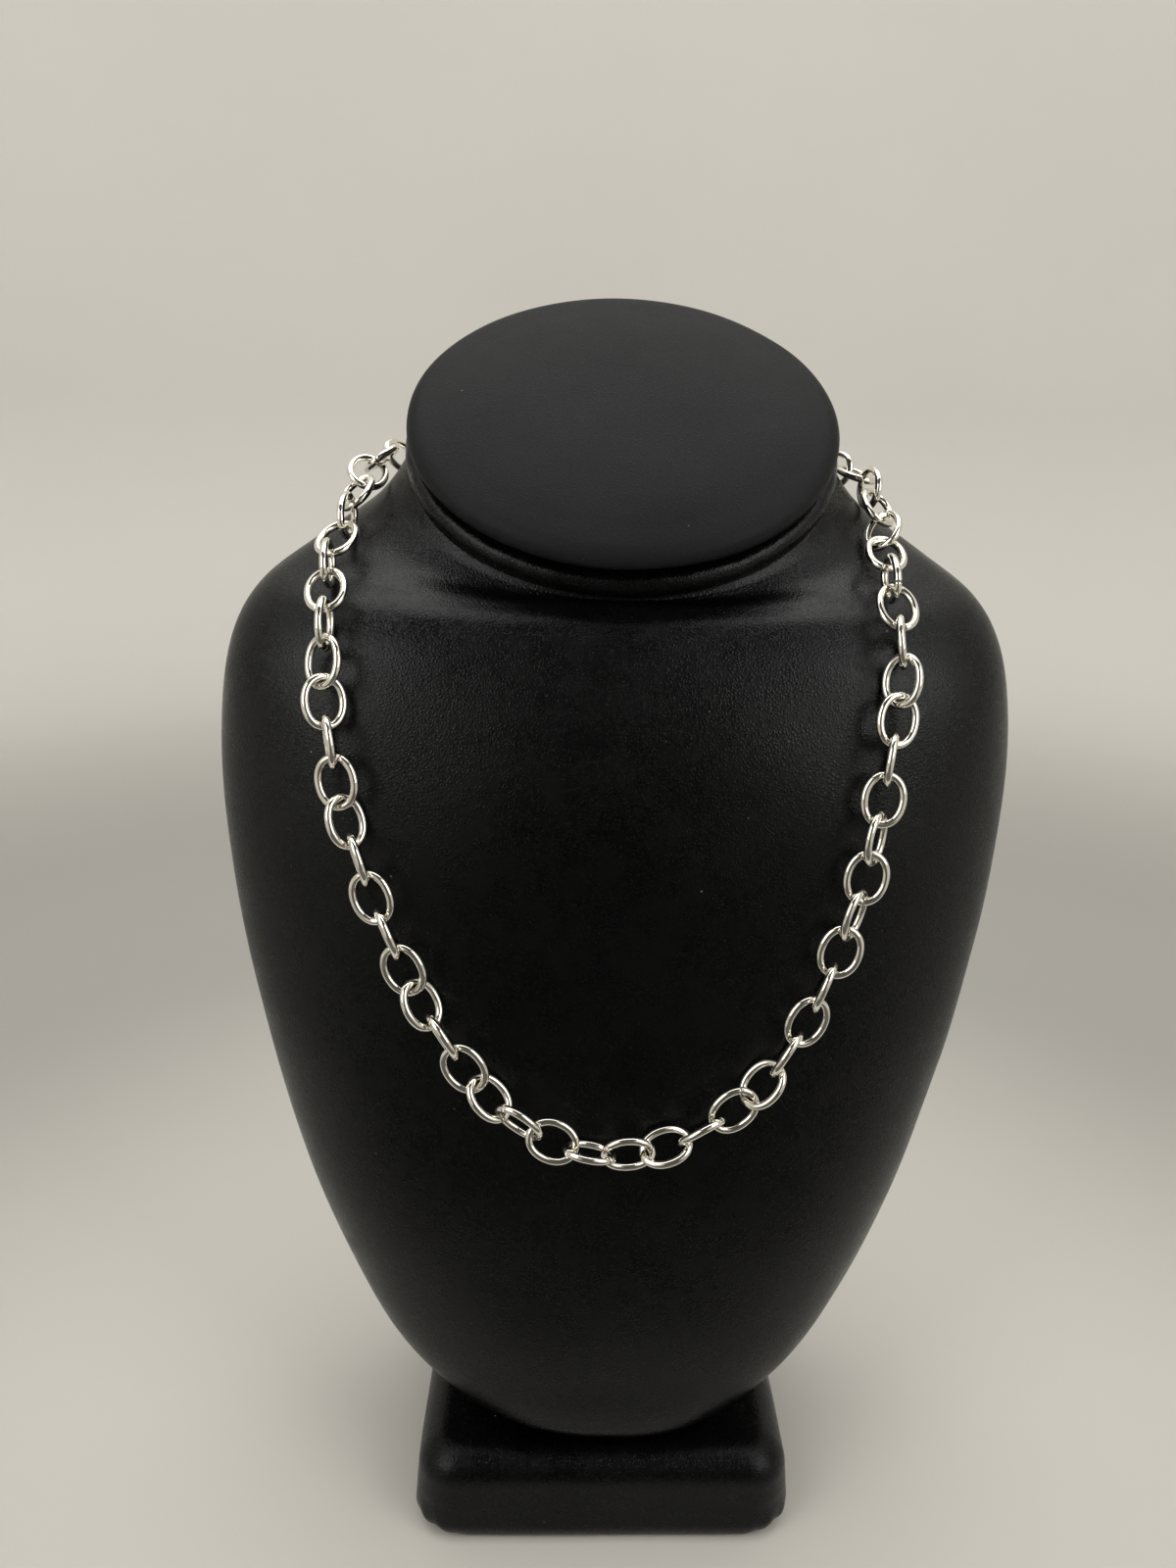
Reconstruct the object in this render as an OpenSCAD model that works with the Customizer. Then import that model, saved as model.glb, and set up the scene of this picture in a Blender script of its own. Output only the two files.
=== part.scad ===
// Link chain necklace on a plain neck bust.
// The bust is one lofted body, with a padded rim and a padded cap on its slanted neck and a block foot under it.
// The chain is a closed row of interlocking oval rings that lies on the body, with its clasp behind the neck.
// Millimetres, +Z up, the front of the bust faces -Y, the floor is Z = 0.

/* [Chain] */
// Thickness of the wire
wire_d = 1.85; // [1.7:0.05:1.9]
// Outer length of a link
link_l = 13.1; // [13:0.1:13.5]
// Outer width of a link
link_w = 10.5; // [10.2:0.1:10.8]
// Play between the ends of two neighbouring links
link_play = 0.2; // [0.15:0.01:0.25]
// Gap between a link and the body that it lies on
rest_gap = 0.3; // [0.3:0.05:0.5]

/* [Clasp] */
// Outer length of the clasp's loop
clasp_l = 13; // [12:0.5:14]
// Outer width of the clasp's loop
clasp_w = 8; // [7.5:0.5:9]
// Thickness of the clasp's wire
clasp_d = 2; // [1.8:0.1:2.2]
// Outer width of the jump ring between the clasp and the chain
jump_w = 7; // [6.6:0.2:7.4]
// Thickness of the jump ring's wire
jump_d = 1.2; // [1:0.1:1.3]

/* [Body] */
// Width across the shoulders
shoulder_w = 197.4; // [189.4:1:205.4]
// Height of the body, from the foot to the middle of the neck's cut
body_h = 245.8; // [238.3:0.5:252.3]
// Depth of the chest where the shoulders are widest
chest_d = 78.5; // [75:0.5:82]

/* [Cap and rim] */
// Slope of the neck's cut, the rim and the cap
neck_tilt = 42; // [40:1:44]
// Width of the cap
cap_w = 105; // [102:1:108]
// Length of the cap along its slope
cap_l = 91; // [88:0.5:94]
// Thickness of the cap at its edge
cap_t = 6.4; // [5.9:0.5:7.4]
// Rise of the padding in the middle of the cap
cap_crown = 2.2; // [1.4:0.2:3]
// How far the rim stands out past the cap
rim_out = 1; // [0.5:0.25:1.5]
// Thickness of the padded rim
rim_t = 6.2; // [5.6:0.2:6.6]
// Height of the groove between the rim and the cap
groove_h = 2; // [1.6:0.2:2.6]
// Depth of that groove
groove_in = 4; // [3:0.5:5]
// Seam between two pads
seam = 0.3; // [0.25:0.05:0.4]

/* [Foot] */
// Width of the foot
foot_w = 99; // [96:1:103]
// Depth of the foot
foot_d = 100.5; // [97.5:1:104.5]
// Height of the foot
foot_h = 24; // [22:0.5:26]
// Radius of the foot's upright corners
foot_r = 11; // [8:0.5:14]
// Rounding of the foot's upper edge
foot_edge = 6; // [4:0.5:8]
// How far the foot's walls lean in
foot_lean = 1; // [0:0.25:2]

/* [Hidden] */

// The body's horizontal cuts, from the foot up to the slanted neck, at the drawn size.
// Columns: height, set back, lean, half width, reach to the front, reach to the back,
// squareness of the front half and squareness of the back half (2 is an ellipse).
body_cuts = [
  [0, 8, 0, 28, 22, 27, 2.6, 2.6],
  [2.2, 5, 0, 32, 48, 30, 2.6, 2.6],
  [5.7, 1, 0, 40, 51, 35, 2.7, 2.6],
  [11.7, -4, 0, 50, 47.5, 40, 2.7, 2.6],
  [21.7, -8, 0, 59.7, 43, 44, 2.6, 2.6],
  [37.7, -10, 0, 68.8, 40.5, 46, 2.4, 2.6],
  [61.7, -9, 0, 78.7, 40, 45, 2.3, 2.6],
  [90.7, -7, 0, 87.2, 40, 43, 2.2, 2.6],
  [122.7, -4, 0, 94.1, 41, 41, 2.2, 2.6],
  [155.7, -2, 0, 98.2, 40.5, 40, 2.2, 2.6],
  [181.7, 0, 0, 98.7, 37.5, 39, 2.2, 2.6],
  [201.7, 2, 3, 95.8, 32.5, 39, 2.3, 2.4],
  [214.7, 5, 9.5, 89.4, 30, 40, 2.2, 2.2],
  [223.2, 9, 18, 78, 30.5, 41, 2.1, 2],
  [231.2, 13, 28.5, 64, 34.5, 41, 2, 2],
  [239.4, 15, 37.5, 56, 40, 43, 2, 2],
  [245.8, 16.5, neck_tilt, cap_w/2 + 0.5, cap_l/2 - 1, cap_l/2 - 1, 2, 2],
];

// The way of the chain round the bust, closed at the back of the neck.
// Columns: turn about the body (90 is the back, 180 the left side, 270 the front),
// height, and the lift of the links' middles off the body.
chain_way = [
  [90, 258.8, 5.4],
  [112, 261.3, 5.1],
  [133, 264.8, 4.3],
  [153, 267, 5.55],
  [168, 262.8, 5.4],
  [180, 256, 5.4],
  [193, 250.2, 5.4],
  [207, 243.8, 5.4],
  [218.9, 238.3, 5.5],
  [226, 232.6, 5.5],
  [229.3, 223, 5.4],
  [231, 209, 5.1],
  [233.5, 194, 4.8],
  [237, 178, 4.8],
  [241.5, 160, 4.8],
  [246.5, 144, 4.8],
  [253.5, 128, 5],
  [262, 118, 5.3],
  [271.5, 115, 5.3],
  [281, 120.5, 5],
  [289, 131, 4.8],
  [294.5, 145.5, 4.8],
  [298.5, 163, 4.8],
  [301.5, 180.5, 4.8],
  [303.5, 197.5, 4.8],
  [305.5, 213.5, 4.9],
  [307.8, 227.3, 5.2],
  [311.8, 235, 5.4],
  [320, 241, 5.4],
  [334, 246.3, 5.4],
  [351, 253.8, 5.2],
  [368, 261.5, 4.95],
  [387, 266, 4.4],
  [407, 265, 4.2],
  [429, 261.4, 5.1],
];

// How each link lies, one letter for each, from the clasp round the left side to the right side.
// Letters: f flat, e on edge, i inner side up, j inner side half up, a inner side a little up,
// u outer side nearly on edge, o outer side up, p outer side half up, b outer side a little up.
// Past the chart's end the links lie half up in turn, and the last one nearly flat.
lay = "epjpjpibufefefeapifoififoifojbeaoifoifibjbjbifoifefofi";
lay_angles = [
  ["f", 0], ["e", -84], ["i", -60], ["j", -42], ["a", -18],
  ["u", 72], ["o", 60], ["p", 40], ["b", 17],
];

body_scale = [shoulder_w / 197.4, chest_d / 78.5, body_h / 245.8];
body_z = foot_h + seam;
// The origin lies about midway between the front and the back of the chain
foot_front = -54.5;
middle_y = 1;
// Steps round and steps for each row of the body's loft
body_sides = 52;
body_steps = 3;
pad_sides = 44;
way_steps = 12;
eps = 0.02;

bust_colour = [0.13, 0.13, 0.13];
cap_colour = [0.2, 0.2, 0.2];
steel_colour = [0.82, 0.81, 0.78];

// Smooth curve through the rows of a table, at row number s
function along(rows, s, closed = false) =
  let(
    n = len(rows),
    i = closed ? floor(s) : max(0, min(n - 2, floor(s))),
    t = s - i,
    a = row_at(rows, i - 1, closed),
    b = row_at(rows, i, closed),
    c = row_at(rows, i + 1, closed),
    d = row_at(rows, i + 2, closed)
  )
  (2*b + (c - a)*t + (2*a - 5*b + 4*c - d)*t*t + (3*b - a - 3*c + d)*t*t*t) / 2;

// Row i of a table, held at its ends, or taken round again with a whole turn added to its first column
function row_at(rows, i, closed) =
  let(n = len(rows))
  closed
    ? rows[((i % n) + n) % n] + [for (k = [0:len(rows[0]) - 1]) k == 0 ? 360*floor(i/n) : 0]
    : rows[max(0, min(n - 1, i))];

function power(v, p) = sign(v) * pow(abs(v), p);
function unit(v) = v / norm(v);

// Point of the body's skin at a turn in degrees and a row number of body_cuts
function skin(turn, row) =
  let(
    cut = along(body_cuts, row),
    q = sin(turn),
    squareness = q < 0 ? cut[6] : cut[7],
    reach = (q < 0 ? cut[4] : cut[5]) * power(q, 2/squareness),
    x = cut[3] * power(cos(turn), 2/squareness)
  )
  [
    x * body_scale.x,
    (cut[1] + reach*cos(cut[2])) * body_scale.y,
    body_z + (cut[0] + reach*sin(cut[2])) * body_scale.z
  ];

// Outward direction of the skin
function skin_out(turn, row) =
  unit(cross(skin(turn + eps*20, row) - skin(turn - eps*20, row),
             skin(turn, row + eps) - skin(turn, row - eps)));

// Row number at which the skin reaches a height at one turn, found by halving
function row_of(turn, z, low = 5, high = 15.9, left = 24) =
  let(mid = (low + high) / 2)
  left == 0 ? mid
    : skin(turn, mid).z < z ? row_of(turn, z, mid, high, left - 1)
    : row_of(turn, z, low, mid, left - 1);

// Points of the chain's way: [turn, row number, lift, x, y, z] for each step
way_scaled = [
  for (w = chain_way)
    [w[0], body_z + (w[1] - 24.3)*body_scale.z, w[2] + (link_w - 10)/2 + rest_gap - 0.3]
];
way_count = len(chain_way) * way_steps;
way = [
  for (k = [0:way_count])
    let(
      w = along(way_scaled, k/way_steps, closed = true),
      row = row_of(w[0], w[1]),
      p = skin(w[0], row) + skin_out(w[0], row)*w[2]
    )
    [w[0], row, w[2], p.x, p.y, p.z]
];
function place(w) = [w[3], w[4], w[5]];
way_lengths = [
  for (k = 0, s = 0; k <= way_count; s = s + (k < way_count ? norm(place(way[k + 1]) - place(way[k])) : 0), k = k + 1) s
];
way_l = way_lengths[way_count];

// One value of the way at a length s along it, from the middle of the back
way_tables = [for (c = [0:5]) [for (k = [0:way_count]) [way_lengths[k], way[k][c]]]];
function way_value(s, c) = lookup(s - way_l*floor(s/way_l), way_tables[c]);
function way_point(s) = [way_value(s, 3), way_value(s, 4), way_value(s, 5)];

// The clasp sits at the start of the way; the chain fills the rest
jump_r = (jump_w - jump_d) / 2;
jump_to_link = jump_r + link_l/2 - wire_d/2 - (wire_d + jump_d)/2 - link_play;
clasp_to_link = clasp_l/2 - clasp_d/2 + link_l/2 - wire_d/2 - (wire_d + clasp_d)/2 - link_play;
collar_l = 2.6;
collar_d = 3.4;
eye_w = 5.4;
eye_d = 1.5;
eye_at = clasp_l/2 + collar_l/2 + eye_w/2 - eye_d/2 - 0.6;
clasp_to_jump = eye_at + (eye_w - eye_d)/2 + jump_r - (eye_d + jump_d)/2 - link_play;
chain_from = clasp_to_link;
chain_to = way_l - clasp_to_jump - jump_to_link;
taut_pitch = link_l - 2*wire_d - link_play;
link_count = ceil((chain_to - chain_from) / taut_pitch) + 1;
pitch = (chain_to - chain_from) / (link_count - 1);

function charted(letter) = lay_angles[search(letter, lay_angles)[0]][1];
function lay_angle(i) =
  i == link_count - 1 ? charted(lay_angle(i - 1) < 0 ? "b" : "a")
    : i < len(lay) ? charted(lay[i])
    : charted((i - len(lay)) % 2 == 0 ? "p" : "j");

// Frame of a piece that spans half a step each way along the chain: its middle, its direction and the outward direction
function frame_at(s, half) =
  let(
    start = way_point(s - half),
    end = way_point(s + half),
    ahead = unit(end - start),
    skin_way = skin_out(way_value(s, 0), way_value(s, 1)),
    out = unit(skin_way - (skin_way*ahead)*ahead)
  )
  [(start + end)/2, ahead, out];

// Sets a child, drawn along X and flat in XY, on a frame, turned about its length
module set_on(frame, roll) {
  at = frame[0];
  ahead = frame[1];
  out = frame[2];
  aside = cross(ahead, out);
  width = aside*cos(roll) + out*sin(roll);
  up = cross(ahead, width);
  multmatrix([
    [ahead.x, width.x, up.x, at.x],
    [ahead.y, width.y, up.y, at.y],
    [ahead.z, width.z, up.z, at.z],
  ]) children();
}

// A closed loop of round wire with half-circle ends, flat in XY
module wire_loop(length, width, d) {
  r = (width - d) / 2;
  straight = (length - width) / 2;
  for (side = [0, 180]) rotate([0, 0, side]) {
    translate([straight, 0, 0]) rotate([0, 0, -90]) rotate_extrude(angle = 180) translate([r, 0]) circle(d = d);
    translate([-straight, r, 0]) rotate([0, 90, 0]) cylinder(d = d, h = 2*straight);
  }
}

// A solid through closed rings of points, each ring with the same number of points
module loft(rings) {
  n = len(rings[0]);
  m = len(rings);
  points = [for (ring = rings) each ring];
  low = [for (k = [0:n - 1]) k];
  high = [for (k = [n - 1:-1:0]) (m - 1)*n + k];
  walls = [
    for (j = [0:m - 2], k = [0:n - 1])
      let(a = j*n + k, b = j*n + (k + 1) % n)
      each [[a, a + n, b + n], [a, b + n, b]]
  ];
  polyhedron(points = points, faces = concat([low, high], walls), convexity = 4);
}

function body_ring(row) = [for (k = [0:body_sides - 1]) skin(360*k/body_sides, row)];

// Ring of a pad on the slanted neck: how far in from the pad's edge, and how high over the neck's cut
neck_out = [0, -sin(neck_tilt), cos(neck_tilt)];
neck_along = [0, cos(neck_tilt), sin(neck_tilt)];
neck_at = [0, 16.5*body_scale.y, body_z + body_h];
function pad_ring(half_w, half_l, in, up) = [
  for (k = [0:pad_sides - 1])
    let(t = 360*k/pad_sides)
    neck_at + [(half_w - in)*cos(t), 0, 0] + neck_along*(half_l - in)*sin(t) + neck_out*up
];

// Ring of a block with rounded corners, centred on the foot
foot_y = foot_front + foot_d/2;
corner_steps = 9;
function block_ring(in, r, z) = [
  for (corner = [0:3], k = [0:corner_steps])
    let(
      t = 90*corner + 90*k/corner_steps,
      sx = corner == 0 || corner == 3 ? 1 : -1,
      sy = corner < 2 ? 1 : -1
    )
    [
      sx*(foot_w/2 - in - r) + r*cos(t),
      foot_y + sy*(foot_d/2 - in - r) + r*sin(t),
      z
    ]
];

module placed() translate([0, -middle_y, 0]) children();

module chain() {
  color(steel_colour) placed()
    for (i = [0:link_count - 1])
      set_on(frame_at(chain_from + i*pitch, pitch/2), lay_angle(i))
        wire_loop(link_l, link_w, wire_d);
}

module clasp() {
  color(steel_colour) placed() set_on(frame_at(0, clasp_l/2), 0) rotate([0, 0, 180]) {
    wire_loop(clasp_l, clasp_w, clasp_d);
    translate([clasp_l/2 - clasp_d/2 - 0.4, 0, 0]) rotate([0, 90, 0]) cylinder(d = collar_d, h = collar_l);
    translate([eye_at, 0, 0]) rotate_extrude() translate([(eye_w - eye_d)/2, 0]) circle(d = eye_d);
  }
}

module jump_ring() {
  color(steel_colour) placed() set_on(frame_at(-clasp_to_jump, jump_r), 90)
    rotate_extrude() translate([jump_r, 0]) circle(d = jump_d);
}

module body() {
  last = len(body_cuts) - 1;
  color(bust_colour) placed()
    loft([for (j = [0:last*body_steps]) body_ring(j/body_steps)]);
}

module neck_rim() {
  half_w = cap_w/2 + rim_out;
  half_l = cap_l/2 + rim_out;
  color(bust_colour) placed() loft([
    pad_ring(half_w, half_l, 2.4, seam),
    pad_ring(half_w, half_l, 0.7, seam + 0.12*rim_t),
    pad_ring(half_w, half_l, 0, seam + 0.42*rim_t),
    pad_ring(half_w, half_l, 0.5, seam + 0.78*rim_t),
    pad_ring(half_w, half_l, 2.2, seam + rim_t),
    pad_ring(half_w, half_l, rim_out + groove_in, seam + rim_t + 0.2),
    pad_ring(half_w, half_l, rim_out + groove_in, seam + rim_t + groove_h),
  ]);
}

module neck_cap() {
  low = seam + rim_t + groove_h + seam;
  half_w = cap_w/2;
  half_l = cap_l/2;
  color(cap_colour) placed() loft([
    pad_ring(half_w, half_l, 2.6, low),
    pad_ring(half_w, half_l, 0.7, low + 0.12*cap_t),
    pad_ring(half_w, half_l, 0, low + 0.4*cap_t),
    pad_ring(half_w, half_l, 0.8, low + 0.68*cap_t),
    pad_ring(half_w, half_l, 3, low + 0.88*cap_t),
    pad_ring(half_w, half_l, 6.5, low + cap_t),
    pad_ring(half_w, half_l, 12, low + cap_t + 0.45*cap_crown),
    pad_ring(half_w, half_l, 20, low + cap_t + 0.75*cap_crown),
    pad_ring(half_w, half_l, 31, low + cap_t + 0.93*cap_crown),
    pad_ring(half_w, half_l, 42, low + cap_t + cap_crown),
  ]);
}

module foot() {
  color(bust_colour) placed() loft([
    block_ring(1.8, foot_r + 2, 0),
    block_ring(0.5, foot_r + 1, 1.2),
    block_ring(0, foot_r, 5),
    for (t = [0:15:75])
      let(in = foot_lean + foot_edge*(1 - cos(t)))
        block_ring(in, max(2, foot_r - in), foot_h - foot_edge + foot_edge*sin(t)),
    block_ring(foot_lean + foot_edge, max(2, foot_r - foot_lean - foot_edge), foot_h),
  ]);
}

chain();
clasp();
jump_ring();
body();
neck_rim();
neck_cap();
foot();
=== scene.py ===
"""Link chain necklace of polished oval rings on a leather-covered neck bust.

The bust is a covered body, a padded rim and a padded cap on its slanted neck, and a covered foot. The necklace
is a closed row of interlocking oval links that lies on the body, with a plain clasp and a jump ring behind the
neck.
"""

import logging
import math
from dataclasses import dataclass
from enum import Enum

import bpy
import numpy as np
from mathutils import Matrix


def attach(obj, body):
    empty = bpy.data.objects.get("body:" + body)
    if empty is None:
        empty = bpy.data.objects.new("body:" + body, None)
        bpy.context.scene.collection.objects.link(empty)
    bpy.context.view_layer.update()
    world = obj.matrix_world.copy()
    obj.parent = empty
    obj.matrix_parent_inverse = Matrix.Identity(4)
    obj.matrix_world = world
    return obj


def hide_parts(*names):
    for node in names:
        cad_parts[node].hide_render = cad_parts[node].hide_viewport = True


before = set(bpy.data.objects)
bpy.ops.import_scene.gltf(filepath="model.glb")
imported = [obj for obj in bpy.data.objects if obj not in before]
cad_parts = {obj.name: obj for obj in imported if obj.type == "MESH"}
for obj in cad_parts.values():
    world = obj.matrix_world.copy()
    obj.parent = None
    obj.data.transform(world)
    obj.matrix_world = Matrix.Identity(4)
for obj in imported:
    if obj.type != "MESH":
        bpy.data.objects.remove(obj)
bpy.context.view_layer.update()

LOG = logging.getLogger("necklace")
MM = 0.001
ROOT = "root"
MARK = "mark"
Tone = tuple[float, float, float]
Place = tuple[float, float, float]


class Slot(Enum):
    """The record's material slots."""

    CHAIN = "polished_steel"
    CLASP = "clasp_steel"
    RING = "ring_steel"
    BODY = "body_leather"
    RIM = "rim_leather"
    CAP = "cap_leather"
    FOOT = "foot_leather"


def smooth_rows(rows: np.ndarray, at: np.ndarray) -> np.ndarray:
    """Smooth curve through the rows of a table.

    It is a cubic between each two rows, and takes its slopes from their neighbours.

    Args:
        rows: The table, one row a station.
        at: Row numbers, with fractions.

    Returns:
        One table row for each row number.
    """
    last = len(rows) - 1
    i = np.clip(np.floor(at).astype(int), 0, last - 1)
    t = (at - i)[:, None]
    a, b, c, d = (rows[np.clip(i + k, 0, last)] for k in (-1, 0, 1, 2))
    return 0.5 * (2 * b + (c - a) * t + (2 * a - 5 * b + 4 * c - d) * t**2 + (3 * b - a - 3 * c + d) * t**3)


def signed_power(value: np.ndarray, power: np.ndarray | float) -> np.ndarray:
    """The value's size to a power, with its sign kept."""
    return np.sign(value) * np.abs(value) ** power


def soft_waves(points: np.ndarray, wavelength: float, seed: int) -> np.ndarray:
    """Slow waves in space: the mean of six sine waves in seeded directions.

    Args:
        points: Places in millimetres, in the last axis.
        wavelength: Typical distance between two crests, in millimetres.
        seed: Seed of the directions and phases.

    Returns:
        A value from about -1 to 1 for each place.
    """
    rng = np.random.default_rng(seed)
    ways = rng.normal(size=(6, 3))
    lengths = np.linalg.norm(ways, axis=1, keepdims=True)
    ways *= (2 * math.pi / wavelength) * rng.uniform(0.6, 1.5, (6, 1))
    ways /= lengths
    phases = rng.uniform(0, 2 * math.pi, 6)
    return np.sin(points @ ways.T + phases).mean(axis=-1) * 1.8


def outward_of(points: np.ndarray) -> np.ndarray:
    """Unit normals of a grid of points that is closed along its columns.

    Args:
        points: Rows by columns by three.

    Returns:
        Normals of the same shape, the cross product of the steps along the columns and along the rows.
    """
    along = np.roll(points, -1, axis=1) - np.roll(points, 1, axis=1)
    up = np.gradient(points, axis=0)
    normal = np.cross(along, up)
    return normal / np.maximum(np.linalg.norm(normal, axis=-1, keepdims=True), 1e-9)


def grid_quads(rows: int, cols: int, ring_rows: bool = False, ring_cols: bool = True) -> np.ndarray:
    """Corner numbers of the squares of a grid of points.

    Args:
        rows: Rows of points.
        cols: Points in each row.
        ring_rows: Whether the last row joins the first.
        ring_cols: Whether each row closes on itself.

    Returns:
        Four corner numbers a square.
    """
    down, across = rows if ring_rows else rows - 1, cols if ring_cols else cols - 1
    r, c = np.meshgrid(np.arange(down), np.arange(across), indexing="ij")
    after, beside = (r + 1) % rows, (c + 1) % cols
    corners = (r * cols + c, r * cols + beside, after * cols + beside, after * cols + c)
    return np.stack(corners, -1).reshape(-1, 4)


class SurfaceMesh:
    """Collects closed grids of points in millimetres and makes one mesh object of them."""

    def __init__(self, name: str) -> None:
        """Starts an empty piece.

        Args:
            name: Name of the object.
        """
        self.name = name
        self.points: list[np.ndarray] = []
        self.faces: list[np.ndarray] = []
        self.triangles: list[np.ndarray] = []
        self.values: list[np.ndarray] = []
        self.count = 0

    def add_grid(self, points: np.ndarray, ring: bool = False, values: np.ndarray | None = None) -> None:
        """Adds a grid whose columns close on themselves.

        The rows close too when it is a ring. Otherwise its two ends get a fan of triangles round their middle
        point. The faces are turned outward by the sign of the volume that they enclose.

        Args:
            points: Rows by columns by three, in millimetres.
            ring: Whether the last row joins the first.
            values: One number a point for the piece's attribute, or none.
        """
        rows, cols = points.shape[:2]
        quads = grid_quads(rows, cols, ring_rows=ring)
        flat = points.reshape(-1, 3)
        marks = np.zeros(len(flat)) if values is None else values.reshape(-1)
        fans = np.zeros((0, 3), int)
        if not ring:
            low, high = len(flat), len(flat) + 1
            flat = np.vstack([flat, points[0].mean(axis=0), points[-1].mean(axis=0)])
            marks = np.concatenate([marks, [0.0, 0.0]])
            k = np.arange(cols)
            first, last = np.roll(k, -1), (rows - 1) * cols
            fans = np.vstack([
                np.stack([np.full(cols, low), first, k], -1),
                np.stack([np.full(cols, high), last + k, last + first], -1),
            ])
        if self.volume(flat, quads, fans) < 0:
            quads, fans = quads[:, ::-1], fans[:, ::-1]
        self.points.append(flat)
        self.values.append(marks)
        self.faces.append(quads + self.count)
        self.triangles.append(fans + self.count)
        self.count += len(flat)

    @staticmethod
    def volume(points: np.ndarray, quads: np.ndarray, fans: np.ndarray) -> float:
        """Six times the volume inside the faces, positive when they face outward.

        It is the sum of a . (b x c) over the triangles, with each square cut in two.

        Args:
            points: Corner places, one row each.
            quads: Corner numbers of the squares.
            fans: Corner numbers of the triangles.

        Returns:
            The sum.
        """
        thirds = np.vstack([quads[:, [0, 1, 2]], quads[:, [0, 2, 3]], fans])
        a, b, c = (points[thirds[:, k]] for k in range(3))
        return float(np.einsum("ij,ij->i", a, np.cross(b, c)).sum())

    def build(self, replaces: tuple[str, ...], slot: Slot, material: bpy.types.Material) -> bpy.types.Object:
        """Makes the object, in metres, and gives it its place in the frame.

        Args:
            replaces: The CAD nodes that the piece stands for.
            slot: The record's slot of its finish; not used.
            material: Its material.

        Returns:
            The finished object.
        """
        points = np.vstack(self.points) * MM
        quads, fans = np.vstack(self.faces), np.vstack(self.triangles)
        loops = np.concatenate([quads.ravel(), fans.ravel()]).astype(np.int32)
        sizes = np.concatenate([np.full(len(quads), 4), np.full(len(fans), 3)])
        starts = np.concatenate([[0], np.cumsum(sizes)[:-1]]).astype(np.int32)
        mesh = bpy.data.meshes.new(self.name)
        mesh.vertices.add(len(points))
        mesh.vertices.foreach_set("co", points.astype(np.float32).ravel())
        mesh.loops.add(len(loops))
        mesh.loops.foreach_set("vertex_index", loops)
        mesh.polygons.add(len(sizes))
        mesh.polygons.foreach_set("loop_start", starts)
        mesh.polygons.foreach_set("use_smooth", np.ones(len(sizes), bool))
        mesh.update(calc_edges=True)
        mesh.validate()
        mark = mesh.attributes.new(MARK, "FLOAT", "POINT")
        mark.data.foreach_set("value", np.concatenate(self.values).astype(np.float32))
        piece = bpy.data.objects.new(self.name, mesh)
        bpy.context.scene.collection.objects.link(piece)
        mesh.materials.append(material)
        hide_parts(*replaces)
        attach(piece, ROOT)
        LOG.info("%s: %d faces", self.name, len(sizes))
        return piece


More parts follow.
